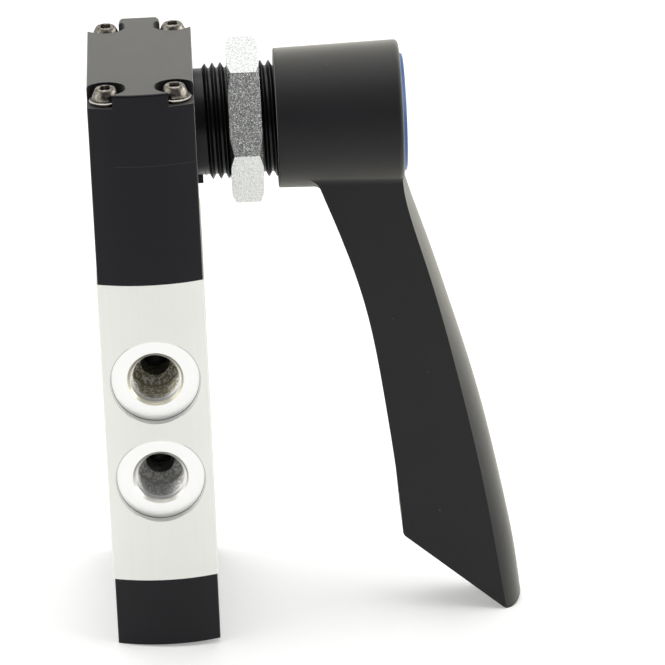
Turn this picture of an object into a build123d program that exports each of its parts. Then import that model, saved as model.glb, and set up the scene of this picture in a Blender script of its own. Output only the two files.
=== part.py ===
from build123d import *
import math
import os

# All sizes in millimetres. The lever turns about the X axis, x = 0 is the
# panel face of the head, the valve hangs down -Z and ports 1, 3, 5 face +Y.

# Head, valve body and end cap
body_width = 20.0
head_width = body_width - 0.4
cap_width = body_width - 0.5
front_corner = 20.8
front_bulge = 1.8
back_face = 23.1
edge_round = 0.4
head_top = 13.5
head_seam = -23.7
body_length = 60.0
cap_height = 13.5

# Spool bore, its seals and the spacers between them
bore_radius = 7.0
seal_pitch = body_length / 6
seal_width = 2.0
seal_count = 6
spacer_radius = 6.95
spacer_bore_radius = 4.8
spacer_window = 3.6
seal_section_lip = 0.5

# Ports
port_row_drop = 0.4933 * body_length
port_bore_radius = 4.864
port_thread_depth = 7.6
port_mouth_radius = 5.3
spotface_radius = 8.3
front_spotface_floor = 20.65
back_spotface_depth = 1.0
port_duct_radius = 2.75

# How far a cutting tool stands past the outside
cut_over = 5.0

# Through holes for wall or stack mounting
side_hole_radius = 2.15
side_hole_y = -14.5
side_hole_pitch = 4 * seal_pitch

# Head and cap screws
screw_x = body_width / 2 - 3.65
screw_y = 18.0
screw_radius = 1.5
screw_thread_gap = 0.02
screw_clear_radius = 1.7
screw_head_radius = 2.5
screw_head_height = 2.1
screw_engagement = 6.5
screw_recess_radius = 0.85
screw_recess_depth = 1.1
washer_radius = 3.05
washer_bore_radius = 1.6
washer_height = 0.8
pocket_radius = 3.8
pocket_depth = 2.6
front_tongue_half = screw_x - 1.2
back_tab_half = screw_x - 2.45
back_tab_round = 0.9
cap_head_depth = 4.4
cap_head_bore_radius = 3.2

# Head cavity
side_wall = 2.3
panel_wall = 5.0
cavity_half_depth = 8.4
cavity_roof = 8.6
cavity_round = 2.0

# Gaskets
gasket_height = 0.5
gasket_margin = 1.2

# Threaded bushing, M22 x 1.5
thread_major = 21.8
thread_pitch = 1.5
undercut_length = 1.3
bushing_end = 19.4
shank_radius = 9.0
shank_gap = 0.02
bushing_bore_radius = 5.05
key_width = 3.0
key_height = 1.6
key_length = 1.0
key_gap = 0.2

# Panel nut
nut_across_flats = thread_major + 5.2
nut_height = 6.0
nut_start = 6.3
nut_turn = 23.0
nut_thread_gap = 0.05
nut_bevel_start = 0.6
nut_bevel_angle = 25.0

# Drive shaft
shaft_radius = 5.0
shaft_groove_radius = 3.9
shaft_groove_start = 8.0
shaft_groove_width = 1.8
flange_radius = 7.5
thrust_height = 0.6
thrust_gap = 0.05
flange_height = 1.35
square_across = 8.0
square_fit = 0.03
tenon_across = 5.0
shaft_tip_gap = 0.3
lever_screw_radius = 2.5

# Crank and its roller
crank_gap = 0.15
crank_radius = 7.5
crank_height = 3.0
crank_throw = 4.0
crank_pin_radius = 1.25
roller_radius = 2.0
roller_bore_gap = 0.05
roller_side_gap = 0.15
cross_pin_radius = 0.75
cross_pin_length = 11.0

# Spool
spool_radius = 4.5
spool_running_gap = 0.03
yoke_radius = 6.0
yoke_flat_gap = 0.25
yoke_slot_depth = 3.2
slot_play = 0.22
yoke_cheek = 2.4
yoke_flat_drop = 11.2
neck_radius = 3.0
land_lap = 0.3
spool_tip_gap = 5.2

# Detent in the end cap
lever_swing = 45.0
cap_cavity_radius = 6.4
cap_floor = 2.0
detent_wire_radius = 0.6
detent_notch_depth = 0.45
detent_cage_radius = 6.35
detent_cage_height = 8.0

# Lever hub
hub_start = 15.1
hub_length = 23.5
hub_recess_radius = thread_major / 2 + 0.8
hub_rim_radius = hub_recess_radius + 1.4
hub_face_radius = hub_rim_radius + 0.6
hub_edge_round = 0.9
hub_rim_round = 0.3
hub_pocket_radius = 9.6
hub_pocket_depth = 7.3
hub_cap_radius = hub_face_radius - 1.9
hub_cap_seat = 1.4

# Lever arm, with x from the hub's outer face: inner outline (x, z), outer outline (x, z, crown)
arm_inner_top = (-17.3, -7.0)
arm_inner = [(-13.7, -17.5), (-8.4, -35.0), (-5.2, -55.0), (-3.3, -72.0)]
arm_heel = (-2.5, -84.0)
arm_heel_slope = 0.876
arm_outer = [
    (-0.2, -8.0, 0.1), (0.7, -14.0, 0.7), (3.2, -22.0, 1.3), (7.4, -36.0, 1.8), (11.3, -50.0, 2.6),
    (14.6, -64.0, 3.1), (17.3, -78.0, 3.4), (19.5, -92.0, 3.6), (21.6, -106.0, 3.9)]
arm_tip_x = 20.6
arm_tip_round = 2.6
arm_heel_round = 1.6
arm_root_round = 2.0
arm_half_width_top = 9.1
arm_half_width_bottom = 6.1
arm_wall = 2.4
arm_face_wall = 3.0
arm_core_top = -22.0
arm_core_bottom = -80.0
arm_rib_count = 4
arm_rib_thickness = 1.8

# Lever cap, screw and washer
cap_plug_gap = 0.08
cap_dome_height = 0.3
cap_disc_height = 2.1
cap_disc_round = 0.3
cap_skirt_radius = 9.5
cap_skirt_wall = 1.2
cap_skirt_length = 1.9
lever_washer_radius = 5.2
lever_washer_height = 1.0
lever_screw_head_radius = 4.5
lever_screw_head_height = 2.8
lever_screw_length = 10.0
lever_screw_recess_radius = 1.6
lever_screw_recess_depth = 1.6

# Places worked out from the sizes above
axis_x = -head_width / 2
body_bottom = head_seam - body_length
cap_bottom = body_bottom - cap_height
port_row_z = head_seam - port_row_drop
front_ports = [port_row_z + seal_pitch, port_row_z - seal_pitch]
back_ports = [port_row_z + 2 * seal_pitch, port_row_z, port_row_z - 2 * seal_pitch]
seal_heights = [port_row_z + (seal_count - 1 - 2 * i) * seal_pitch / 2 for i in range(seal_count)]
screw_places = [(sx * screw_x, sy * screw_y) for sx in (-1, 1) for sy in (-1, 1)]
pocket_floor = head_top - pocket_depth
cavity_side = -head_width + side_wall
cavity_panel_side = -panel_wall
crank_near = cavity_panel_side - crank_gap
crank_far = crank_near - crank_height
yoke_flat = crank_far - yoke_flat_gap
slot_half = roller_radius + slot_play
yoke_half = slot_half + yoke_cheek
spool_tip = cap_bottom + spool_tip_gap
swing = math.radians(lever_swing)
spool_travel = crank_throw * math.sin(swing)
flange_near = bushing_end + thrust_height + thrust_gap
flange_far = flange_near + flange_height
hub_end = hub_start + hub_length
web_near = flange_far
web_far = hub_end - hub_pocket_depth
hub_web_height = web_far - web_near
detent_z = body_bottom - detent_cage_height / 2


def along_x(shape, x=0.0, y=0.0, z=0.0):
    """Turn a shape modelled about +Z so that it points along +X from (x, y, z)."""
    return Pos(x, y, z) * Rot(0, 90, 0) * shape


def rod(radius, length):
    return Cylinder(radius, length, align=(Align.CENTER, Align.CENTER, Align.MIN))


def block(x_size, y_size, z_size, x=0.0, y=0.0, z=0.0):
    return Pos(x, y, z) * Box(x_size, y_size, z_size)


def turned(points):
    """Solid of revolution about Z from (radius, height) points."""
    outline = Polyline(*[(r, 0, h) for r, h in points], close=True)
    return revolve(make_face(outline.edges()), Axis.Z)


def body_plan(width, inset=0.0):
    """Plan outline shared by head, body and cap: bowed front, flat back."""
    half = width / 2 - inset
    corner = front_corner - inset
    back = back_face - inset
    front = ThreePointArc((-half, -corner), (0, -corner - front_bulge), (half, -corner))
    rest = Polyline((half, -corner), (half, back), (-half, back), (-half, -corner))
    face = make_face(front.edges() + rest.edges())
    return fillet(face.vertices(), edge_round)


def prism(face, low, high):
    return Pos(axis_x, 0, low) * extrude(face, amount=high - low, dir=(0, 0, 1))


def screw_rods(radius, low, high):
    """Four vertical rods on the screw pattern, used for holes."""
    return [Pos(axis_x + x, y, low) * rod(radius, high - low) for x, y in screw_places]


def port_cutter(side, height, floor, outer):
    """Threaded port seen from outside: spotface, countersunk mouth, bore and duct."""
    mouth_depth = port_mouth_radius - port_bore_radius
    duct_start = floor - port_thread_depth
    cutter = turned([
        (0, outer + cut_over), (spotface_radius, outer + cut_over), (spotface_radius, floor),
        (port_mouth_radius, floor), (port_bore_radius, floor - mouth_depth),
        (port_bore_radius, duct_start), (port_duct_radius, duct_start - 1.2),
        (port_duct_radius, bore_radius - 1.5), (0, bore_radius - 1.5)])
    return Pos(axis_x, 0, height) * Rot(-90 * side, 0, 0) * cutter


def make_valve_body():
    body = prism(body_plan(body_width), body_bottom, head_seam)
    body -= Pos(axis_x, 0, body_bottom) * rod(bore_radius, body_length)
    for height in front_ports:
        body -= port_cutter(-1, height, front_spotface_floor, front_corner + front_bulge)
    for height in back_ports:
        body -= port_cutter(1, height, back_face - back_spotface_depth, back_face)
    tap_depth = screw_engagement + 1.0
    tap_radius = screw_radius + screw_thread_gap
    for hole in screw_rods(tap_radius, head_seam - tap_depth, head_seam):
        body -= hole
    for hole in screw_rods(tap_radius, body_bottom, body_bottom + tap_depth):
        body -= hole
    for side in (-1, 1):
        height = port_row_z + side * side_hole_pitch / 2
        body -= along_x(rod(side_hole_radius, body_width + 2), axis_x - body_width / 2 - 1, side_hole_y, height)
    return body


def head_pocket(x, y):
    """Recess round one head screw, open to the side and to the front or back."""
    tongue = front_tongue_half if y < 0 else back_tab_half
    reach = back_face + cut_over
    side = 1 if x > 0 else -1
    way = 1 if y > 0 else -1
    depth = pocket_depth + 1
    middle = pocket_floor + depth / 2
    round_part = Pos(x, y, pocket_floor) * rod(pocket_radius, depth)
    open_x = head_width / 2 + 1 - tongue
    open_y = reach - abs(y)
    open_part = block(open_x, open_y, depth, side * (tongue + open_x / 2), way * (abs(y) + open_y / 2), middle)
    return Pos(axis_x, 0, 0) * (round_part + open_part)


def is_tab_corner(point):
    at_back = abs(point.Y - back_face) < 0.1
    return at_back and point.Z > pocket_floor and abs(abs(point.X - axis_x) - back_tab_half) < 0.1


def make_head_housing():
    head = prism(body_plan(head_width), head_seam, head_top)
    rim = head.edges().group_by(Axis.Z)[-1]
    head = fillet(rim, edge_round)
    for x, y in screw_places:
        head -= head_pocket(x, y)
    corners = [e for e in head.edges().filter_by(Axis.Z) if is_tab_corner(e.center())]
    head = fillet(corners, back_tab_round)
    for hole in screw_rods(screw_clear_radius, head_seam, head_top):
        head -= hole
    cavity_plan = Rectangle(cavity_panel_side - cavity_side, 2 * cavity_half_depth)
    cavity_plan = fillet(cavity_plan.vertices(), cavity_round)
    cavity = extrude(cavity_plan, amount=cavity_roof - head_seam)
    head -= Pos((cavity_panel_side + cavity_side) / 2, 0, head_seam) * cavity
    head -= prism(body_plan(head_width, gasket_margin), head_seam, head_seam + gasket_height)
    head -= along_x(rod(shank_radius + shank_gap, panel_wall + 1), -panel_wall - 0.5)
    undercut_radius = thread_major / 2 - 0.6134 * thread_pitch
    key_z = -undercut_radius - key_gap - key_height / 2
    head += block(key_length + 1, key_width, key_height, key_length / 2 - 0.5, 0, key_z)
    return head


def gasket(low, hole_radius):
    """Flat gasket that lies in a shallow recess beside the joint."""
    sheet = prism(body_plan(head_width, gasket_margin + 0.1), low, low + gasket_height)
    sheet -= Pos(axis_x, 0, low) * rod(hole_radius, gasket_height)
    for hole in screw_rods(screw_clear_radius, low, low + gasket_height):
        sheet -= hole
    return sheet


def make_head_gasket():
    return gasket(head_seam, spacer_radius - 0.4)


def make_cap_gasket():
    return gasket(body_bottom - gasket_height, detent_cage_radius + 0.3)


def make_end_cap():
    cap = prism(body_plan(cap_width), cap_bottom, body_bottom)
    cap -= prism(body_plan(head_width, gasket_margin), body_bottom - gasket_height, body_bottom)
    cap -= Pos(axis_x, 0, cap_bottom + cap_floor) * rod(cap_cavity_radius, cap_height)
    for hole in screw_rods(screw_clear_radius, cap_bottom, body_bottom):
        cap -= hole
    for hole in screw_rods(cap_head_bore_radius, cap_bottom, cap_bottom + cap_head_depth):
        cap -= hole
    return cap


def pan_screw(length):
    """M3 pan head screw with a six-lobe socket, head up, underside at z = 0."""
    dome = turned([
        (0, 0), (screw_head_radius, 0), (screw_head_radius, 0.45 * screw_head_height),
        (0.86 * screw_head_radius, 0.82 * screw_head_height),
        (0.55 * screw_head_radius, screw_head_height), (0, screw_head_height)])
    socket_plan = Circle(screw_recess_radius)
    for turn in range(6):
        lobe = Circle(0.32 * screw_recess_radius)
        socket_plan += Rot(0, 0, 60 * turn) * Pos(screw_recess_radius, 0) * lobe
    socket = extrude(socket_plan, amount=screw_recess_depth + 1)
    dome -= Pos(0, 0, screw_head_height - screw_recess_depth) * socket
    return dome + Pos(0, 0, -length) * rod(screw_radius, length)


def make_head_screws():
    seat = pocket_floor + washer_height
    length = seat - head_seam + screw_engagement
    screw = pan_screw(length)
    return Compound([Pos(axis_x + x, y, seat) * screw for x, y in screw_places])


def make_head_lock_washers():
    """Split spring washers under the four head screws."""
    washer = rod(washer_radius, washer_height) - rod(washer_bore_radius, washer_height)
    washer -= block(washer_radius, 0.5, 2 * washer_height, washer_radius / 2 + 0.8, 0, washer_height / 2)
    return Compound([Pos(axis_x + x, y, pocket_floor) * Rot(0, 0, 40) * washer for x, y in screw_places])


def make_cap_screws():
    seat = cap_bottom + cap_head_depth
    screw = Rot(180, 0, 0) * pan_screw(body_bottom - seat + screw_engagement)
    return Compound([Pos(axis_x + x, y, seat) * screw for x, y in screw_places])


def make_spool_seals():
    """Six rings that stay in the body; the spool slides through them."""
    half = seal_width / 2
    inner = spool_radius + spool_running_gap
    ring = turned([
        (inner, -half * 0.4), (inner + seal_section_lip, -half), (bore_radius, -half),
        (bore_radius, half), (inner + seal_section_lip, half), (inner, half * 0.4)])
    return Compound([Pos(axis_x, 0, z) * ring for z in seal_heights])


def make_spool_spacers():
    """Five windowed rings that hold the seals apart and let the ports through."""
    height = seal_pitch - seal_width
    ring = rod(spacer_radius, height) - rod(spacer_bore_radius, height)
    for angle in (0, 90):
        window = block(2 * spacer_radius + 2, spacer_window, spacer_window, 0, 0, height / 2)
        ring -= Rot(0, 0, angle) * window
    lows = [z - seal_width / 2 - height for z in seal_heights[:-1]]
    return Compound([Pos(axis_x, 0, z) * ring for z in lows])


def make_end_rings():
    """Plain rings that close the stack at the head and at the cap."""
    top_low = seal_heights[0] + seal_width / 2
    bottom_high = seal_heights[-1] - seal_width / 2
    rings = []
    for low, high in ((top_low, head_seam), (body_bottom, bottom_high)):
        ring = rod(spacer_radius, high - low) - rod(spacer_bore_radius, high - low)
        rings.append(Pos(axis_x, 0, low) * ring)
    return Compound(rings)


def make_threaded_bushing():
    """Black bushing: shank in the head, undercut, then the neck at the M22 thread's crests."""
    major = thread_major / 2
    root = major - 0.6134 * thread_pitch
    lead = major - root
    bushing = turned([
        (bushing_bore_radius, -panel_wall), (shank_radius, -panel_wall), (shank_radius, 0), (root, 0),
        (root, undercut_length), (major, undercut_length + lead), (major, bushing_end - lead),
        (root, bushing_end), (bushing_bore_radius, bushing_end)])
    return along_x(bushing)


def make_panel_nut():
    """Hexagon nut with shallow bevels on both faces, turned as it stopped when tightened."""
    flat = nut_across_flats / 2
    tip = flat / math.cos(math.radians(30))
    face = flat + nut_bevel_start
    drop = (tip - face) * math.tan(math.radians(nut_bevel_angle))
    hexagon = extrude(RegularPolygon(tip, 6, rotation=0), amount=nut_height)
    envelope = turned([
        (0, 0), (face, 0), (tip, drop), (tip, nut_height - drop),
        (face, nut_height), (0, nut_height)])
    hole = thread_major / 2 + nut_thread_gap
    lead = 0.7
    bore = turned([
        (0, -0.1), (hole + lead + 0.1, -0.1), (hole, lead), (hole, nut_height - lead),
        (hole + lead + 0.1, nut_height + 0.1), (0, nut_height + 0.1)])
    return Rot(-nut_turn, 0, 0) * along_x((hexagon & envelope) - bore, nut_start)


def square_bar(across, length, corner=0.4):
    """Square bar along Z with its flats facing Y and Z once laid along X."""
    plan = fillet(Rectangle(across, across).vertices(), corner)
    return extrude(plan, amount=length)


def make_drive_shaft():
    """Shaft from the lever's square through the bushing to the crank's tenon."""
    groove_end = shaft_groove_start + shaft_groove_width
    shaft = turned([
        (0, crank_near), (shaft_radius, crank_near), (shaft_radius, shaft_groove_start),
        (shaft_groove_radius, shaft_groove_start), (shaft_groove_radius, groove_end),
        (shaft_radius, groove_end), (shaft_radius, flange_near),
        (flange_radius, flange_near), (flange_radius, flange_far), (0, flange_far)])
    square_length = hub_web_height - shaft_tip_gap
    shaft += Pos(0, 0, flange_far) * square_bar(square_across, square_length)
    shaft += Pos(0, 0, crank_far) * square_bar(tenon_across, crank_height)
    tip = flange_far + square_length
    tap_depth = lever_screw_length + 1
    shaft -= Pos(0, 0, tip - tap_depth) * rod(lever_screw_radius, tap_depth)
    shaft = along_x(shaft)
    shaft -= Pos(crank_near - crank_height / 2, 0, -crank_radius) * rod(cross_pin_radius, 2 * crank_radius)
    return shaft


def make_shaft_seal():
    groove_middle = shaft_groove_start + shaft_groove_width / 2
    section = (bushing_bore_radius - 0.02 - shaft_groove_radius) / 2
    ring = Torus(shaft_groove_radius + section, section)
    return along_x(ring, groove_middle)


def make_thrust_washer():
    washer = rod(flange_radius, thrust_height) - rod(bushing_bore_radius, thrust_height)
    return along_x(washer, bushing_end)


def make_crank_disc():
    """Disc on the shaft's tenon that carries the crank pin off centre."""
    disc = rod(crank_radius, crank_height)
    disc -= square_bar(tenon_across, crank_height)
    disc = along_x(disc, crank_far)
    disc -= along_x(rod(crank_pin_radius, crank_height), crank_far, crank_throw, 0)
    disc -= Pos(crank_near - crank_height / 2, 0, -crank_radius) * rod(cross_pin_radius, cross_pin_length)
    return disc


def make_cross_pin():
    """Spring pin that locks the crank disc on the tenon."""
    start = 0.6 - crank_radius
    length = cross_pin_length - 0.6
    pin = rod(cross_pin_radius, length) - rod(0.4 * cross_pin_radius, length)
    return Pos(crank_near - crank_height / 2, 0, start) * pin


def make_crank_pin():
    start = yoke_flat - yoke_slot_depth + roller_side_gap
    return along_x(rod(crank_pin_radius, crank_near - start), start, crank_throw, 0)


def make_pin_roller():
    start = yoke_flat - yoke_slot_depth + roller_side_gap
    length = crank_far - 0.1 - start
    roller = rod(roller_radius, length) - rod(crank_pin_radius + roller_bore_gap, length)
    return along_x(roller, start, crank_throw, 0)


def spool_grooves():
    """Low and high ends of the three waists that connect the ports."""
    half = seal_width / 2
    lap = half + land_lap
    middle_low = seal_heights[3] + lap
    middle_high = seal_heights[2] - lap
    top_low = seal_heights[1] + lap
    top_high = seal_heights[0] - lap - spool_travel
    bottom_high = seal_heights[4] - lap
    bottom_low = seal_heights[5] + lap + spool_travel
    return [(top_low, top_high), (middle_low, middle_high), (bottom_low, bottom_high)]


def make_spool():
    """Spool with its yoke at the top, three waists and the detent notches below."""
    spool = Pos(0, 0, spool_tip) * rod(spool_radius, -yoke_half - spool_tip)
    spool = chamfer(spool.edges().group_by(Axis.Z)[0], 0.6)
    for low, high in spool_grooves():
        slope = 0.5
        waist = turned([
            (neck_radius, low + slope), (spool_radius + 0.5, low - slope / 3),
            (spool_radius + 0.5, high + slope / 3), (neck_radius, high - slope)])
        spool -= waist
    for step in (-1, 0, 1):
        notch_z = detent_z + step * spool_travel
        notch = turned([
            (spool_radius - detent_notch_depth, notch_z), (spool_radius + 0.1, notch_z - 0.65),
            (spool_radius + 0.1, notch_z + 0.65)])
        spool -= notch
    spool += Pos(0, 0, -yoke_half) * rod(yoke_radius, 2 * yoke_half)
    spool = Pos(axis_x, 0, 0) * spool
    cut_width = yoke_radius + 1
    flat_low = -yoke_flat_drop
    flat_height = yoke_half + 1 - flat_low
    spool -= block(cut_width, 3 * yoke_radius, flat_height, yoke_flat + cut_width / 2, 0, flat_low + flat_height / 2)
    slot_x = yoke_flat - yoke_slot_depth
    spool -= block(cut_width, 3 * yoke_radius, 2 * slot_half, slot_x + cut_width / 2, 0, 0)
    return spool


def make_detent_cage():
    """Ring in the end cap with the groove that holds the detent ring."""
    low = detent_z - detent_cage_height / 2 + 0.6
    high = body_bottom - gasket_height - 0.1
    inner = spool_radius + 0.3
    groove = inner + 2 * detent_wire_radius - 0.2
    half = detent_wire_radius + 0.08
    cage = turned([
        (inner, low), (detent_cage_radius, low), (detent_cage_radius, high), (inner, high),
        (inner, detent_z + half), (groove, detent_z + half), (groove, detent_z - half),
        (inner, detent_z - half)])
    return Pos(axis_x, 0, 0) * cage


def make_detent_ring():
    """Open ring of spring wire that snaps into the spool's notches."""
    inner = spool_radius - detent_notch_depth + 0.25
    ring = Torus(inner + detent_wire_radius, detent_wire_radius)
    ring -= block(4 * spool_radius, 1.2, 2, 2 * spool_radius, 0, 0)
    return Pos(axis_x, 0, detent_z) * ring


def arm_side_outline():
    """Side view of the arm: inner curve, slanted heel, round tip and room for the outer face."""
    low = arm_heel[1] - arm_heel_slope * (arm_tip_x - arm_heel[0])
    inner = Spline(arm_inner_top, *arm_inner, arm_heel, tangents=[(0.3, -1), (0.04, -1)])
    rest = Polyline(arm_heel, (arm_tip_x, low), (arm_tip_x, arm_inner_top[1]), arm_inner_top)
    outline = make_face(inner.edges() + rest.edges())
    return fillet(outline.vertices().group_by(Axis.Y)[0], arm_tip_round)


def arm_half_width(z):
    share = (z - arm_outer[0][1]) / (arm_outer[-1][1] - arm_outer[0][1])
    return arm_half_width_top + share * (arm_half_width_bottom - arm_half_width_top)


def arm_envelope():
    """Tapered space with a crowned outer face that the side outline is cut to."""
    sections = []
    for top, z, crown in arm_outer:
        half = arm_half_width(z)
        edge = top - crown
        arc = ThreePointArc((edge, -half, z), (top, 0, z), (edge, half, z))
        rest = Polyline((edge, half, z), (-hub_end, half, z), (-hub_end, -half, z), (edge, -half, z))
        sections.append(make_face(arc.edges() + rest.edges()))
    return loft(sections)


def arm_edge_x(z):
    """Where the outer face meets the arm's sides at a height."""
    for (x0, z0, c0), (x1, z1, c1) in zip(arm_outer, arm_outer[1:]):
        if z >= z1:
            share = (z - z0) / (z1 - z0)
            return x0 - c0 + share * (x1 - c1 - x0 + c0)
    return arm_outer[-1][0] - arm_outer[-1][2]


def arm_core_cells():
    """Pockets between the ribs, open to the arm's inner side."""
    cell_count = arm_rib_count + 1
    step = (arm_core_top - arm_core_bottom + arm_rib_thickness) / cell_count
    cells = []
    for index in range(cell_count):
        top = arm_core_top - index * step
        bottom = top - step + arm_rib_thickness
        ends = []
        for z in (bottom, top):
            floor_x = arm_edge_x(z) - arm_face_wall
            half = arm_half_width(z) - arm_wall
            open_x = floor_x - arm_inner_top[0]
            ends.append(Pos(floor_x - open_x / 2, 0, z) * Rectangle(open_x, 2 * half))
        cells.append(loft(ends))
    return cells


def root_edges(lever):
    """Edges where the arm grows out of the hub, below the hub's axis."""
    root = hub_end + arm_inner_top[0]
    middle = (root + hub_end) / 2
    found = []
    for edge in lever.edges().filter_by(GeomType.BSPLINE):
        centre = edge.center()
        on_hub = abs(math.hypot(centre.Y, centre.Z) - hub_face_radius) < 1.2
        if on_hub and centre.X < middle + 1 and centre.X > root:
            found.append(edge)
    return found


def make_lever():
    """Moulded lever: hub with its square hole, and the cored, crowned arm."""
    side_plane = Plane((0, 0, 0), x_dir=(1, 0, 0), z_dir=(0, -1, 0))
    arm = extrude(side_plane * arm_side_outline(), amount=arm_half_width_top + 2, both=True)
    heel = arm.edges().filter_by(Axis.Y).sort_by_distance((arm_heel[0], 0, arm_heel[1]))[0]
    arm = fillet(heel, arm_heel_round)
    arm = Pos(hub_end, 0, 0) * (arm & arm_envelope())
    hub = turned([(0, 0), (hub_rim_radius, 0), (hub_face_radius, hub_length), (0, hub_length)])
    hub = fillet(hub.edges().group_by(Axis.Z)[-1], hub_edge_round)
    hub = along_x(fillet(hub.edges().group_by(Axis.Z)[0], hub_rim_round), hub_start)
    lever = hub + arm
    lever = fillet(root_edges(lever), arm_root_round)
    for cell in arm_core_cells():
        lever -= Pos(hub_end, 0, 0) * cell
    lever -= along_x(rod(hub_recess_radius, web_near - hub_start + 1), hub_start - 1)
    lever -= along_x(rod(hub_pocket_radius, hub_end - web_far + 1), web_far)
    lever -= along_x(rod(hub_cap_radius + cap_plug_gap, hub_cap_seat + 1), hub_end - hub_cap_seat)
    lever -= along_x(square_bar(square_across + 2 * square_fit, hub_web_height + 1), web_near - 0.5)
    return lever


def make_lever_cap():
    """Blue disc, slightly crowned, that snaps into the hub over the lever screw."""
    seat = hub_end - hub_cap_seat
    top = cap_disc_height + cap_dome_height
    step = hub_cap_radius - cap_disc_round
    shoulder = top - cap_dome_height * (step / hub_cap_radius) ** 2
    disc = turned([
        (0, 0), (hub_cap_radius, 0), (hub_cap_radius, shoulder - cap_disc_round), (step, shoulder),
        (0.75 * step, top - 0.5 * cap_dome_height), (0.4 * step, top - 0.15 * cap_dome_height), (0, top)])
    skirt = rod(cap_skirt_radius, cap_skirt_length) - rod(cap_skirt_radius - cap_skirt_wall, cap_skirt_length)
    return along_x(disc + Pos(0, 0, -cap_skirt_length) * skirt, seat)


def make_lever_washer():
    washer = rod(lever_washer_radius, lever_washer_height) - rod(lever_screw_radius + 0.15, lever_washer_height)
    return along_x(washer, web_far)


def make_lever_screw():
    """M5 button head screw that holds the lever on the shaft's square."""
    head = turned([
        (0, 0), (lever_screw_head_radius, 0), (lever_screw_head_radius, 0.25 * lever_screw_head_height),
        (0.75 * lever_screw_head_radius, 0.8 * lever_screw_head_height),
        (0.45 * lever_screw_head_radius, lever_screw_head_height), (0, lever_screw_head_height)])
    socket = extrude(RegularPolygon(lever_screw_recess_radius, 6), amount=lever_screw_recess_depth + 1)
    head -= Pos(0, 0, lever_screw_head_height - lever_screw_recess_depth) * socket
    length = lever_screw_length + shaft_tip_gap + lever_washer_height
    screw = head + Pos(0, 0, -length) * rod(lever_screw_radius, length)
    return along_x(screw, web_far + lever_washer_height)


parts = {
    "valve_body": make_valve_body,
    "head_housing": make_head_housing,
    "end_cap": make_end_cap,
    "head_gasket": make_head_gasket,
    "cap_gasket": make_cap_gasket,
    "head_screws": make_head_screws,
    "head_lock_washers": make_head_lock_washers,
    "cap_screws": make_cap_screws,
    "spool_seals": make_spool_seals,
    "spool_spacers": make_spool_spacers,
    "spool_end_rings": make_end_rings,
    "detent_cage": make_detent_cage,
    "detent_ring": make_detent_ring,
    "threaded_bushing": make_threaded_bushing,
    "panel_nut": make_panel_nut,
    "thrust_washer": make_thrust_washer,
    "spool": make_spool,
    "lever": make_lever,
    "lever_cap": make_lever_cap,
    "lever_screw": make_lever_screw,
    "lever_washer": make_lever_washer,
    "drive_shaft": make_drive_shaft,
    "shaft_seal": make_shaft_seal,
    "crank_disc": make_crank_disc,
    "cross_pin": make_cross_pin,
    "crank_pin": make_crank_pin,
    "pin_roller": make_pin_roller,
}

os.makedirs("parts", exist_ok=True)
for name, make in parts.items():
    export_step(make(), f"parts/{name}.step")
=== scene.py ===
import math

import bmesh
import bpy
from mathutils import Matrix, Quaternion, Vector


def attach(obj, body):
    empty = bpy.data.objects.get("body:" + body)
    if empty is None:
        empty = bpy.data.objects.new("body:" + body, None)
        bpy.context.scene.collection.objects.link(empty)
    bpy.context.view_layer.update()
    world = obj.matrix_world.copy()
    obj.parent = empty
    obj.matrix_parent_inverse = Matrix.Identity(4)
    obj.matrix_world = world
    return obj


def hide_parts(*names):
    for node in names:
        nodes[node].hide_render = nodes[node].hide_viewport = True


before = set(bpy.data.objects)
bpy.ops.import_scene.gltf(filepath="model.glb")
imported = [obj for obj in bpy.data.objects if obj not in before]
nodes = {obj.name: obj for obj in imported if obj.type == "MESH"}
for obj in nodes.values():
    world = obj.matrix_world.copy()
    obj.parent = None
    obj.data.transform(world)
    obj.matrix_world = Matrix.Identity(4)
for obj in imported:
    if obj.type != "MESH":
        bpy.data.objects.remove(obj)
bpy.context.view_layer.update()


# ---- Port block ----
# The real block is an extruded aluminium bar with a bowed front, anodised clear and cut to length.
# The ports are spot-faced, countersunk and tapped afterwards, so their rings are bright and turned.

MM = 0.001


class Wire:
    """A value in a finish's node tree; sums on it become Math nodes."""

    def __init__(self, finish, socket):
        self.finish = finish
        self.socket = socket

    def math(self, operation, *values):
        return self.finish.node("Math", {"operation": operation}, dict(enumerate(values)))

    def __add__(self, other):
        return self.math("ADD", self, other)

    __radd__ = __add__

    def __sub__(self, other):
        return self.math("SUBTRACT", self, other)

    def __rsub__(self, other):
        return self.math("SUBTRACT", other, self)

    def __mul__(self, other):
        return self.math("MULTIPLY", self, other)

    __rmul__ = __mul__

    def __abs__(self):
        return self.math("ABSOLUTE", self)

    def root(self):
        return self.math("SQRT", self)

    def wave(self):
        return self.math("SINE", self)

    def least(self, other):
        return self.math("MINIMUM", self, other)

    def most(self, other):
        return self.math("MAXIMUM", self, other)

    def rise(self, low, high):
        """0 below low, 1 above high, and a soft step between."""
        settings = {"interpolation_type": "SMOOTHSTEP"}
        sockets = {"Value": self, "From Min": low, "From Max": high}
        return self.finish.node("MapRange", settings, sockets)

    def fall(self, low, high):
        """1 below low, 0 above high, and a soft step between."""
        return 1 - self.rise(low, high)

    def near(self, place, core, fade):
        """1 within core of a place, 0 beyond fade from it."""
        return abs(self - place).fall(core, fade)


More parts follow.
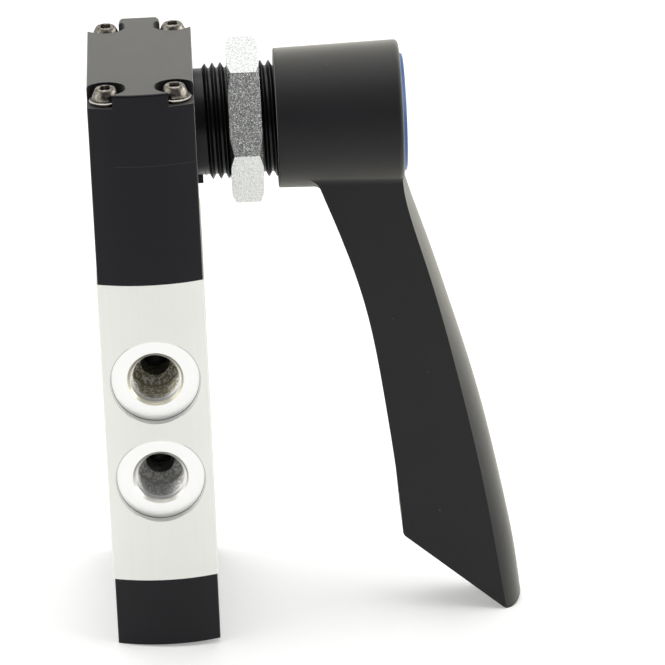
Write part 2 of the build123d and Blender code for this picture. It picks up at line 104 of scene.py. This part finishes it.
class Recipe:
    """The nodes of a finish or of the surroundings."""

    def __init__(self, tree):
        self.tree = tree

    def node(self, kind, settings=(), sockets=(), output=0):
        """A node of a kind: its settings are made first, then its values and links."""
        node = self.tree.nodes.new("ShaderNode" + kind)
        for key, value in dict(settings).items():
            setattr(node, key, value)
        for key, value in dict(sockets).items():
            self.feed(node.inputs[key], value)
        return Wire(self, node.outputs[output])

    def feed(self, socket, value):
        if isinstance(value, Wire):
            self.tree.links.new(value.socket, socket)
        elif isinstance(value, tuple) and socket.type == "RGBA":
            socket.default_value = (*value, 1)
        else:
            socket.default_value = value

    def split(self, vector):
        parts = self.node("SeparateXYZ", {}, {0: vector}).socket.node
        return [Wire(self, output) for output in parts.outputs]

    def ray(self, kind):
        return self.node("LightPath", {}, {}, f"Is {kind} Ray")


class Finish(Recipe):
    """One material: a Principled shader, its fixed values and the nodes that vary it."""

    def __init__(self, name, **fixed):
        self.material = bpy.data.materials.new(name)
        self.material.use_nodes = True
        super().__init__(self.material.node_tree)
        self.shader = self.tree.nodes["Principled BSDF"]
        for socket, value in fixed.items():
            self.shader.inputs[socket.replace("_", " ")].default_value = value
        self.place = self.node("TexCoord", {}, {}, "Object")

    def axes(self):
        """x, y and z in millimetres."""
        return [axis * 1000 for axis in self.split(self.place)]

    def stretched(self, x, y, z):
        """Object coordinates scaled along each axis, for grain that runs one way."""
        return self.node("Mapping", {}, {"Vector": self.place, "Scale": (x, y, z)})

    def noise(self, scale, detail, rough, where=None):
        """Noise with scale patches to the metre, unless where has its own scale."""
        sockets = {"Vector": where or self.place, "Scale": scale, "Detail": detail,
                   "Roughness": rough}
        return self.node("TexNoise", {}, sockets)

    def blend(self, share, first, second):
        """A colour between two colours."""
        mixed = {0: share, 6: first, 7: second}
        return self.node("Mix", {"data_type": "RGBA"}, mixed, 2)

    def shade(self, **sockets):
        for name, value in sockets.items():
            self.feed(self.shader.inputs[name.replace("_", " ")], value)
        return self

    def relief(self, height, depth):
        """Bump of a real depth in millimetres."""
        return self.shade(Normal=self.node("Bump", {}, {"Height": height, "Distance": depth * MM}))

    def on(self, *names):
        """Puts the finish on CAD nodes or on pieces."""
        for name in names:
            piece = nodes[name] if isinstance(name, str) else name
            piece.data.materials.clear()
            piece.data.materials.append(self.material)
        return self


# Sizes are in millimetres. The front ports lie one step above and below the middle row, and the
# rear ones on it and two steps from it. A floor, a reach and the residue's places are distances
# from the plane y = 0, and a thread's start and end are measured from its spotface.
block_axis = -9.8
middle_row = -53.3
row_step = 10.0
front_floor = 20.65
rear_floor = 22.1
ring_reach = 22.15
spotface_radius = 8.3
mouth_radius = 5.3
duct_radius = 2.75
duct_reach = 12.7
port_root = 4.864
port_crest = 4.283
port_pitch = 0.907
thread_start = 0.45
thread_end = 7.3
residue_start = 20.2
residue_full = 18.4
ring_waves = 21

anodised = Finish("anodised aluminium", Metallic=0.6, Roughness=0.42)
x, y, z = anodised.axes()
reach = abs(y)
from_middle = abs(z - middle_row)
from_front_row = abs(from_middle - row_step)
from_rear_row = abs(from_middle - 2 * row_step).least(from_middle)
from_row = from_front_row + y.rise(0, 0.1) * (from_rear_row - from_front_row)
off_axis = x - block_axis
port_radius = (off_axis * off_axis + from_row * from_row).root()

below_skin = reach.fall(ring_reach, ring_reach + 0.15)
in_spotface = port_radius.fall(spotface_radius - 0.06, spotface_radius + 0.02)
turned = in_spotface * below_skin
foot = port_radius.near(spotface_radius, 0.04, 0.12)
foot = foot * reach.fall(front_floor + 0.1, front_floor + 0.3)
# A thin ring just outside the spotface, below the skin, is darkened as a painted shadow line along
# its top edge.
rim_shadow = port_radius.near(spotface_radius + 0.13, 0.03, 0.11) * below_skin
lip = port_radius.rise(port_root - 0.024, port_root + 0.016)
lip = lip * port_radius.fall(mouth_radius - 0.02, mouth_radius + 0.04)
crests = port_radius.fall(4.3, 4.5)
deep = reach.fall(residue_full, residue_start)
upper_front = (z - middle_row).rise(0, 1) * y.fall(-2, 0)
# The duct deep in the block is painted near black as painted shade, and is made rougher and not
# metallic there.
duct = reach.fall(duct_reach - 0.3, duct_reach + 0.3)
duct = duct * port_radius.fall(duct_radius - 0.07, duct_radius + 0.05)

streak = anodised.noise(1, 3, 0.6, anodised.stretched(1400, 1400, 40))
grain = anodised.noise(5200, 2, 0.6)
clouds = anodised.noise(70, 3, 0.5)
residue = anodised.noise(1900, 3, 0.65)
rings = (port_radius * ring_waves + grain * 1.2).wave() * 0.5 + 0.5

drawn = anodised.blend(streak * 0.5 + clouds * 0.5, (0.84, 0.84, 0.80), (0.93, 0.93, 0.89))
machined = anodised.blend(rings, (0.94, 0.94, 0.93), (0.985, 0.985, 0.975))
oily = anodised.blend(residue, (0.085, 0.072, 0.018), (0.50, 0.43, 0.19))
dull = anodised.blend(residue, (0.17, 0.17, 0.16), (0.80, 0.79, 0.76))
painted_crest_highlight = (0.93, 0.92, 0.88)
foot_shadow = (0.10, 0.10, 0.10)
painted_rim_shadow = (0.22, 0.22, 0.21)
oiled_lip = (0.74, 0.70, 0.52)
painted_duct_shade = (0.012, 0.011, 0.014)

inside = anodised.blend(upper_front, dull, oily)
# Thread crests are painted pale in patches of the residue noise, as a painted highlight.
inside = anodised.blend(crests * residue.rise(0.45, 0.6), inside, painted_crest_highlight)
metal = anodised.blend(turned * (1 - foot * 0.75), drawn, machined)
metal = anodised.blend(foot * 0.7, metal, foot_shadow)
metal = anodised.blend(rim_shadow * 0.5, metal, painted_rim_shadow)
metal = anodised.blend(deep * in_spotface * 0.85, metal, inside)
metal = anodised.blend(lip * (0.35 + upper_front * 0.5), metal, oiled_lip)
anodised.shade(Base_Color=anodised.blend(duct, metal, painted_duct_shade))
anodised.shade(Roughness=0.44 + (streak - 0.5) * 0.16 - turned * 0.1 + duct * 0.3)
anodised.shade(Metallic=(0.6 + turned * 0.2) * (1 - duct))
anodised.relief(streak * 0.5 + grain * 0.3 + turned * rings * 0.5, 0.012)
anodised.on("valve_body")


def new_piece(name, shell, body, finish, stands_for=(), sharp=32):
    """Turns a bmesh in metres into a finished piece that rides on a CAD body."""
    bmesh.ops.remove_doubles(shell, verts=shell.verts, dist=0.002 * MM)
    bmesh.ops.recalc_face_normals(shell, faces=shell.faces)
    mesh = bpy.data.meshes.new(name)
    shell.to_mesh(mesh)
    shell.free()
    mesh.polygons.foreach_set("use_smooth", [True] * len(mesh.polygons))
    mesh.set_sharp_from_angle(angle=math.radians(sharp))
    piece = bpy.data.objects.new(name, mesh)
    bpy.context.scene.collection.objects.link(piece)
    finish.on(piece)
    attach(piece, body)
    if stands_for:
        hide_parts(*stands_for)


def turn_profile(shell, points, steps, axis=(1, 0, 0), centre=(0, 0, 0), turns=1.0, pitch=0.0,
                 closed=True):
    """Spins (radius, along) points in millimetres round an axis; a pitch makes a helix."""
    axis = Vector(axis)
    side = axis.orthogonal().normalized()
    centre = Vector(centre) * MM
    corners = [shell.verts.new(centre + side * r * MM + axis * h * MM) for r, h in points]
    pairs = list(zip(corners, corners[1:])) + ([(corners[-1], corners[0])] if closed else [])
    edges = [shell.edges.new(pair) for pair in pairs]
    whole = turns == 1 and not pitch
    count = round(steps * turns)
    bmesh.ops.spin(shell, geom=corners + edges, cent=centre, axis=axis, angle=2 * math.pi * turns,
                   dvec=axis * pitch * turns / count * MM, steps=count, use_merge=whole)
    if not whole:
        ends = [edge for edge in shell.edges if edge.is_boundary]
        bmesh.ops.holes_fill(shell, edges=ends, sides=len(points))


def wind_thread(shell, root, crest, pitch, low, high, steps, axis=(1, 0, 0), centre=(0, 0, 0)):
    """A sharp ridge wound on a cylinder or in a bore, with both ends run out into the root."""
    outward = 1 if crest > root else -1
    sink = 0.1
    start = low - pitch / 2
    flank, shoulder, flat = 0.375 * pitch, 0.09 * pitch, 0.04 * pitch
    half = [(root - sink * outward, flank + 0.04), (root, flank),
            (crest - 0.05 * outward, shoulder), (crest, flat)]
    ridge = [(radius, start - width) for radius, width in half]
    ridge += [(radius, start + width) for radius, width in reversed(half)]
    first = len(shell.verts)
    turn_profile(shell, ridge, steps, axis, centre, (high - low) / pitch + 1, pitch)
    shell.verts.ensure_lookup_table()
    axis = Vector(axis)
    centre = Vector(centre) * MM
    for vert in shell.verts[first:]:
        distance = (vert.co - centre).dot(axis)
        away = vert.co - centre - axis * distance
        along = min(max(distance, low * MM), high * MM)
        run_out = min(along - low * MM, high * MM - along) - sink * MM
        height = min(outward * (away.length - root * MM), max(run_out, -sink * MM))
        vert.co = centre + axis * along + away.normalized() * (root * MM + outward * height)


def repeat(shell, moves):
    """Copies all of a shell by each move in millimetres."""
    source = shell.verts[:] + shell.edges[:] + shell.faces[:]
    for move in moves:
        copy = bmesh.ops.duplicate(shell, geom=source)["geom"]
        verts = [part for part in copy if isinstance(part, bmesh.types.BMVert)]
        bmesh.ops.translate(shell, verts=verts, vec=Vector(move) * MM)


def tap_ports(name, floor, inwards, top_row, drops):
    """G1/8 threads of one side's ports; inwards is 1 or -1 along y, drops are the steps down."""
    threads = bmesh.new()
    wind_thread(threads, port_root, port_crest, port_pitch, thread_start, thread_end, 48,
                (0, inwards, 0), (block_axis, -inwards * floor, top_row))
    repeat(threads, [(0, 0, -drop) for drop in drops])
    new_piece(name, threads, "valve", anodised)


tap_ports("front_port_threads", front_floor, 1, middle_row + row_step, [2 * row_step])
tap_ports("rear_port_threads", rear_floor, -1, middle_row + 2 * row_step,
          [2 * row_step, 4 * row_step])


# ---- Gaskets and seals ----
# Flat nitrile sheets lie in shallow recesses at both ends of the block, six moulded rings stay in
# its bore and one sits on the shaft. All are soft black rubber with a dull, slightly dusty skin.

rubber = Finish("nitrile rubber", Roughness=0.7, Specular_IOR_Level=0.4)
dust = rubber.noise(1500, 4, 0.6)
rubber.shade(Base_Color=rubber.blend(dust, (0.012, 0.012, 0.013), (0.035, 0.035, 0.036)))
rubber.shade(Roughness=0.62 + dust * 0.25).relief(dust, 0.02)
rubber.on("head_gasket", "cap_gasket", "spool_seals", "shaft_seal")


# ---- Inner plastic rings ----
# The spacers between the seals, the end rings, the detent cage and the thrust washer are turned or
# moulded in black acetal, which is smooth and a little waxy.

acetal = Finish("black acetal", Roughness=0.38)
swirl = acetal.noise(300, 3, 0.55)
acetal.shade(Base_Color=acetal.blend(swirl, (0.018, 0.018, 0.018), (0.032, 0.032, 0.031)))
acetal.shade(Roughness=0.34 + swirl * 0.12).relief(acetal.noise(4000, 2, 0.5), 0.006)
acetal.on("spool_spacers", "spool_end_rings", "detent_cage", "thrust_washer")


# ---- Spool, roller and detent spring ----
# The spool is turned aluminium, ground and polished where the seals run, and the roller in its
# yoke is the same metal. The split detent ring and the cross pin are hard drawn wire.

polished = Finish("polished spool", Metallic=1.0, Roughness=0.2)
lathe = polished.noise(1, 2, 0.5, polished.stretched(120, 120, 9000))
polished.shade(Base_Color=polished.blend(lathe, (0.72, 0.72, 0.71), (0.86, 0.86, 0.85)))
polished.shade(Roughness=0.16 + lathe * 0.12).relief(lathe, 0.004)
polished.on("spool", "pin_roller")

wire = Finish("spring wire", Metallic=1.0, Roughness=0.3)
draw = wire.noise(2600, 3, 0.6)
wire.shade(Base_Color=wire.blend(draw, (0.45, 0.44, 0.42), (0.66, 0.65, 0.62)))
wire.shade(Roughness=0.25 + draw * 0.15)
wire.on("detent_ring", "cross_pin")


# ---- End cap ----
# A plain moulded cap in glass-filled black polyamide closes the block's lower end. Its skin is
# matte, with a very fine spark-eroded grain and a few pale specks of dust.

def moulded(name, tint, gloss, haze, grain_size=0.11, grain_depth=0.010, joint_line=None):
    """Black moulding with grain, faint clouds and dust; haze is how far light spreads at a
    grazing angle, and joint_line the height of the line that the mould leaves on the front."""
    finish = Finish(name, Roughness=gloss, Specular_IOR_Level=0.22, Sheen_Weight=0.8,
                    Sheen_Roughness=haze, Sheen_Tint=(1.0, 0.98, 0.86, 1.0))
    grain = finish.noise(1 / (grain_size * MM), 2, 0.55)
    cloud = finish.noise(110, 4, 0.6)
    speck = finish.noise(800, 1, 0.3).rise(0.835, 0.845)
    base = finish.blend(cloud, tuple(0.75 * c for c in tint), tuple(1.3 * c for c in tint))
    marks = speck * 0.35
    if joint_line is not None:
        x, y, z = finish.axes()
        front = x.rise(-15.5, -14.5) * y.fall(-20.7, -20.5)
        marks = marks.most(front * z.near(joint_line, 0.02, 0.1) * 0.1)
    finish.shade(Base_Color=finish.blend(marks, base, (0.22, 0.22, 0.21)))
    finish.shade(Roughness=gloss + (cloud - 0.5) * 0.14 + (grain - 0.5) * 0.08)
    return finish.relief(grain, grain_depth)


cap_black = moulded("cap polyamide", (0.0045, 0.0050, 0.0075), gloss=0.46, haze=0.36)
cap_black.on("end_cap")


# ---- Head housing ----
# The head is a thick moulding of the same polyamide. Its top has four stepped pockets for the
# screws, and a small key beside the neck stops the valve from turning in its panel.

head_black = moulded("head polyamide", (0.0024, 0.0027, 0.0056), gloss=0.40, haze=0.34,
                     joint_line=-0.3)
head_black.on("head_housing")


# ---- Screws and lock washers ----
# Four pan head M3 screws with six-lobe sockets clamp the head on split spring washers. They are
# nickel-plated steel, slightly brownish, and the washers carry painted shade below a painted
# highlight along their upper rims. Four more hold the end cap.

def steel(name, dark, pale, gloss, painted_lit_from=None):
    """Steel in dark and pale patches or, given a height, dark below it as painted shade and pale
    above it as a painted highlight.
    """
    finish = Finish(name, Metallic=1.0, Roughness=gloss)
    wear = finish.noise(1700, 4, 0.65)
    if painted_lit_from is None:
        share = wear.rise(0.3, 0.7)
    else:
        share = finish.axes()[2].rise(painted_lit_from, painted_lit_from + 0.1)
    finish.shade(Base_Color=finish.blend(share, dark, pale))
    finish.shade(Roughness=gloss + (wear - 0.5) * 0.25)
    return finish.relief(finish.noise(5200, 2, 0.5), 0.006)


first_screw = (-16.15, -18.0)
other_screws = [(12.7, 0, 0), (0, 36, 0), (12.7, 36, 0)]
washer_seat = 10.9
washer_height = 0.8
cap_screw_seat = -92.8

plated = steel("plated screw steel", (0.09, 0.082, 0.07), (0.32, 0.295, 0.25), 0.28)
plated.on("lever_screw", "lever_washer")


def six_lobe_screws(seat, way, length):
    """Four M3 pan head screws with rolled threads; way is 1 with the heads up and -1 down."""
    core, major, pitch = 1.22, 1.5, 0.5
    tip = -length
    shank = [(0, tip), (0.95, tip), (core, tip + 0.35), (core, tip + 9), (major, tip + 9.3),
             (major, 0)]
    head = [(2.44, 0), (2.5, 0.07), (2.5, 0.42), (2.4, 0.8), (2.22, 1.2), (2.02, 1.6),
            (1.84, 1.88), (1.68, 2.03), (1.5, 2.08), (1.36, 2.02)]
    socket = [(1.28, 1.9), (1.28, 0.9), (0, 0.75)]
    axis = (0, 0, way)
    centre = (*first_screw, seat)
    screws = bmesh.new()
    turn_profile(screws, shank + head + socket, 48, axis, centre, closed=False)
    lobes, lobe_depth = 6, 0.15
    for vert in screws.verts:
        away = vert.co - Vector(centre) * MM
        in_head = away.z * way > 0.8 * MM
        away.z = 0
        if in_head and 0.5 * MM < away.length < 1.4 * MM:
            angle = math.atan2(away.y, away.x)
            vert.co += away * lobe_depth * (math.cos(lobes * angle) - 0.4)
    wind_thread(screws, core, major, pitch, tip + 0.35, tip + 8.8, 16, axis, centre)
    repeat(screws, other_screws)
    return screws


head_screws = six_lobe_screws(washer_seat + washer_height, 1, 41.9)
new_piece("head_screw_set", head_screws, "valve", plated, ["head_screws"])

washer_section = [(1.62, 0.08), (1.7, 0), (2.93, 0), (3.03, 0.1), (3.03, 0.6), (2.93, 0.7),
                  (1.7, 0.7), (1.62, 0.62)]
washers = bmesh.new()
turn_profile(washers, washer_section, 72, (0, 0, 1), (*first_screw, washer_seat),
             turns=0.965, pitch=0.08)
repeat(washers, other_screws)
# The split washers are painted dark below and pale along the upper rim: painted shade and a painted
# highlight.
painted_washer_steel = steel("washer steel with painted light", (0.035, 0.033, 0.030), (0.62, 0.60, 0.55), 0.3,
                   painted_lit_from=washer_seat + 0.5)
new_piece("split_washer_set", washers, "valve", painted_washer_steel, ["head_lock_washers"])

cap_screws = six_lobe_screws(cap_screw_seat, -1, 15.6)
new_piece("cap_screw_set", cap_screws, "valve", plated, ["cap_screws"])


# ---- Threaded neck ----
# The neck is a turned steel bushing, blackened, that screws the valve into its panel. Past a plain
# undercut runs an M22 x 1.5 thread with sharp crests that shine along their edges.

black_steel = Finish("blackened steel", Metallic=0.0, Roughness=0.26, Specular_IOR_Level=0.25)
turning = black_steel.noise(1, 2, 0.5, black_steel.stretched(5200, 160, 160))
dark_turn, pale_turn = (0.003, 0.003, 0.0035), (0.009, 0.009, 0.009)
black_steel.shade(Base_Color=black_steel.blend(turning, dark_turn, pale_turn))
black_steel.shade(Roughness=0.24 + turning * 0.14).relief(turning, 0.006)

neck_crest = 10.9
neck_pitch = 1.5
neck_root = neck_crest - 0.6134 * neck_pitch
neck_bore = 5.05
neck_end = 19.4
end_bevel = 0.25
undercut = 1.3
shank_radius = 9.0
shank_end = -5.0
panel_face = 0.02
thread_stop = neck_end - 0.3

neck = bmesh.new()
turn_profile(neck, [
    (neck_bore, shank_end), (shank_radius, shank_end), (shank_radius, panel_face),
    (neck_root, panel_face), (neck_root, neck_end - end_bevel), (neck_root - end_bevel, neck_end),
    (neck_bore + end_bevel, neck_end), (neck_bore, neck_end - end_bevel)], 96)
wind_thread(neck, neck_root, neck_crest, neck_pitch, undercut, thread_stop, 72)
new_piece("neck_thread", neck, "valve", black_steel, ["threaded_bushing"])


# ---- Panel nut ----
# A hexagon nut, 27 mm across flats, clamps the panel. It is zinc-plated steel: bright bevels, and
# flats that keep the sparkling, slightly pitted skin of the drawn bar.

zinc = Finish("zinc plating", Metallic=1.0, Roughness=0.3)
spangle = zinc.noise(3600, 2, 0.5)
broad = zinc.noise(420, 3, 0.5)
zinc.shade(Base_Color=zinc.blend(spangle.rise(0.35, 0.65), (0.62, 0.64, 0.63), (0.86, 0.87, 0.84)))
zinc.shade(Roughness=0.10 + broad * 0.10).relief(spangle, 0.16)
zinc.on("panel_nut")


# ---- Drive shaft and crank ----
# Bare turned steel inside the head: the shaft, with its square for the lever and its tenon for the
# crank, and the crank disc with its pressed-in pin.

turned_steel = steel("turned steel", (0.46, 0.46, 0.46), (0.68, 0.68, 0.67), 0.26)
turned_steel.on("drive_shaft", "crank_disc", "crank_pin")


# ---- Lever ----
# The lever is one thick moulding: a round hub on the shaft's square, and a long curved arm with a
# crowned outer face. Its inner side is cored between ribs, and all of it has a fine matte grain.

lever_black = moulded("lever polyamide", (0.0012, 0.0016, 0.0052), gloss=0.55, haze=0.47,
                      grain_size=0.16, grain_depth=0.012)
lever_black.on("lever")


# ---- Hub cap ----
# A satin blue disc, moulded in one with a short skirt, snaps into the hub's outer end over the
# lever screw. Its rim is bevelled and its face slightly domed.

blue = Finish("blue cap", Roughness=0.36)
tone = blue.noise(160, 3, 0.5)
blue.shade(Base_Color=blue.blend(tone, (0.011, 0.074, 0.25), (0.018, 0.100, 0.31)))
blue.shade(Roughness=0.3 + tone * 0.14).relief(blue.noise(5200, 2, 0.5), 0.006)

skirt = [(0, 37.2), (8.3, 37.2), (8.3, 35.35), (9.45, 35.35), (9.5, 37.2)]
rim = [(11.8, 37.2), (11.8, 38.5), (11.35, 38.66), (11.12, 38.85), (11.0, 39.1), (10.85, 39.24),
       (10.5, 39.33)]
dome = [(8.4, 39.43), (4.4, 39.55), (0, 39.6)]
cap = bmesh.new()
turn_profile(cap, skirt + rim + dome, 96, closed=False)
new_piece("hub_cap", cap, "lever_unit", blue, ["lever_cap"], sharp=25)


# ---- Table and light ----
# The valve stands on a white table between soft boxes, in a room that is darker in front. It rests
# on the cap's left edge and on the lever's tip, so in its own frame the table leans a little.

rest_left = Vector((-19.6, 0, -97.2)) * MM
rest_tip = Vector((56.6, 0, -101.08)) * MM
lean = math.atan2(rest_left.z - rest_tip.z, rest_tip.x - rest_left.x)
contact_gap = Vector((0, 0, 0.05)) * MM
table_reach = 2.5
fade_start, fade_end = 0.35, 1.0
floor_glow = 0.3

white = Finish("white table", Roughness=0.6, Specular_IOR_Level=0.2)
paper = white.noise(30, 3, 0.5)
white.shade(Base_Color=white.blend(paper, (0.80, 0.80, 0.79), (0.83, 0.83, 0.82)))
surface = Wire(white, white.shader.outputs[0])
seen = white.ray("Camera").most(white.ray("Glossy")).most(white.ray("Transmission"))
glow = white.node("Emission", {}, {"Color": (1.0, 1.0, 0.995), "Strength": floor_glow})
lit = white.node("AddShader", {}, {0: surface, 1: glow})
both = white.node("MixShader", {}, {0: seen, 1: surface, 2: lit})
x, y = white.split(white.place)[:2]
far = (x * x + y * y).root().rise(fade_start, fade_end)
horizon = white.node("Emission", {}, {"Color": (1.0, 1.0, 1.0), "Strength": 1.0})
floor = white.node("MixShader", {}, {0: seen * far, 1: both, 2: horizon})
white.feed(white.tree.nodes["Material Output"].inputs["Surface"], floor)

table = bmesh.new()
bmesh.ops.create_grid(table, x_segments=1, y_segments=1, size=table_reach)
bmesh.ops.rotate(table, verts=table.verts, matrix=Matrix.Rotation(lean, 3, "Y"))
bmesh.ops.translate(table, verts=table.verts, vec=rest_left - contact_gap)
table_mesh = bpy.data.meshes.new("table")
table.to_mesh(table_mesh)
table.free()
table_top = bpy.data.objects.new("table", table_mesh)
bpy.context.scene.collection.objects.link(table_top)
white.on(table_top)


def soft_box(name, place, width, height, power):
    """A lamp panel in metres and watts that faces the middle of the valve."""
    light = bpy.data.lights.new(name, "AREA")
    light.shape = "RECTANGLE"
    light.size = width
    light.size_y = height
    light.energy = power
    lamp = bpy.data.objects.new(name, light)
    bpy.context.scene.collection.objects.link(lamp)
    lamp.location = place
    lamp.rotation_mode = "QUATERNION"
    lamp.rotation_quaternion = (Vector(place) - valve_middle).to_track_quat("Z", "Y")


valve_middle = Vector((10, 0, -50)) * MM
soft_box("top box", (0.0, 0.2, 1.1), width=1.2, height=1.2, power=7)
soft_box("left box", (-1.1, -0.3, 0.4), width=1.2, height=0.8, power=4)
soft_box("right box", (1.1, 0.0, 0.25), width=1.2, height=0.6, power=7)

world = bpy.data.worlds.new("studio")
bpy.context.scene.world = world
world.use_nodes = True
sky = Recipe(world.node_tree)
background = sky.tree.nodes["Background"]
away, up = sky.split(sky.node("TexCoord", {}, {}, "Generated"))[1:]
darkest, brightest = 0.13, 0.73
level = (away * 0.8 + up * 0.6).rise(-0.45, 0.6) * (brightest - darkest) + darkest
mirrored = sky.ray("Glossy").most(sky.ray("Transmission"))
white_card = sky.ray("Camera").most(mirrored * away.rise(-0.1, 0.3))
sky.feed(background.inputs["Strength"], level + white_card * (1 - level))
sky.feed(background.inputs["Color"], (1, 1, 1))
bpy.context.scene.view_settings.view_transform = "Standard"


# ---- Camera ----
# A long lens, 0.92 m from the valve and 22 degrees above it, turned a little to the left. Its roll
# is the lean of the valve on the table, as seen in the photograph.

aim = Vector((24.17, 0, -43.97)) * MM
distance = 0.91704
turn, rise, roll = (math.radians(angle) for angle in (-1.53, 22.0, -2.27))
frame_pixels = 665
focal_pixels = 4799.5
sensor_width = 36

back = Vector((math.sin(turn) * math.cos(rise), -math.cos(turn) * math.cos(rise), math.sin(rise)))
lens = bpy.data.cameras.new("camera")
lens.sensor_width = sensor_width
lens.lens = focal_pixels / frame_pixels * sensor_width
lens.clip_start = 0.05
lens.clip_end = 20
camera = bpy.data.objects.new("camera", lens)
bpy.context.scene.collection.objects.link(camera)
camera.location = aim + back * distance
camera.rotation_mode = "QUATERNION"
camera.rotation_quaternion = back.to_track_quat("Z", "Y") @ Quaternion((0, 0, 1), roll)
bpy.context.scene.camera = camera
